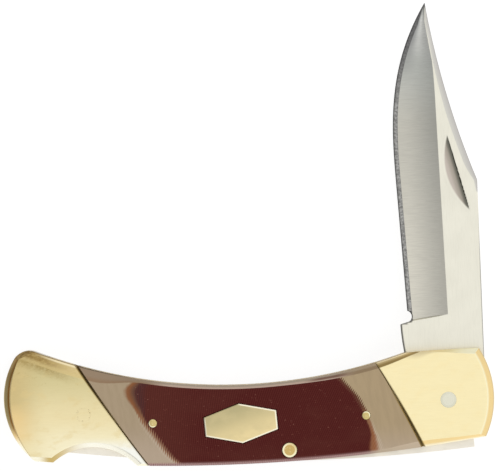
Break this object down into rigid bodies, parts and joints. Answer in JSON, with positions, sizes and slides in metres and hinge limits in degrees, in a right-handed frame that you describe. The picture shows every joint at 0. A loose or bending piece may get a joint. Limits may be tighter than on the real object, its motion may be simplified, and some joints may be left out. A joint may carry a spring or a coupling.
{
  "type": "folding pocket knife",
  "caption": "Folding hunting knife with a clip-point blade half open, a rear lock bar, brass bolsters and a resin handle between them, lying on its side.",
  "frame": {"origin": "on the pivot's axis, at the flush end of the pivot pin in the lower bolster's outer face", "axes": "+X along the handle towards the pivot end, +Y towards the side that the blade opens from, +Z through the thickness, up as the knife lies on its side"},
  "size_m": [0.1264, 0.1193, 0.0155],
  "materials": {
    "bolster_brass": "satin, ground flush with its pins",
    "liner_brass": "plain rolled sheet",
    "pin_brass": "peened and ground flush",
    "blade_steel": "satin flats with a hollow grind",
    "spring_steel": "satin edges",
    "pin_steel": "ground flush",
    "scale_resin": "polished linen laminate, burgundy fading to tan at its ends and along its top bevel"
  },
  "bodies": {
    "handle": {"back_spring": "spring_steel", "liner_lower": "liner_brass", "liner_upper": "liner_brass", "front_bolster_lower": "bolster_brass", "front_bolster_upper": "bolster_brass", "rear_bolster_lower": "bolster_brass", "rear_bolster_upper": "bolster_brass", "scale_lower": "scale_resin", "scale_upper": "scale_resin", "shield": "bolster_brass", "pivot_pin": "pin_steel", "lock_bar_pin": "pin_brass", "butt_pin": "bolster_brass", "spring_pin": "pin_steel", "scale_pin_lower_rear": "pin_brass", "scale_pin_lower_front": "pin_brass", "scale_pin_upper_rear": "pin_brass", "scale_pin_upper_front": "pin_brass"},
    "blade": {"blade": "blade_steel"},
    "lock_bar": {"lock_bar": "spring_steel"}
  },
  "joints": [
    {"name": "blade_pivot", "type": "hinge", "parent": "handle", "child": "blade", "pos_m": [0, 0, 0.00775], "axis": [0, 0, 1], "range_deg": [-84, 84]},
    {"name": "lock_bar_rock", "type": "hinge", "parent": "handle", "child": "lock_bar", "pos_m": [-0.0409, -0.01304, 0.00775], "axis": [0, 0, 1], "range_deg": [-1.2, 0], "stiffness_Nm_per_rad": 1, "springref_deg": 5.73, "deforming": ["back_spring"]}
  ]
}
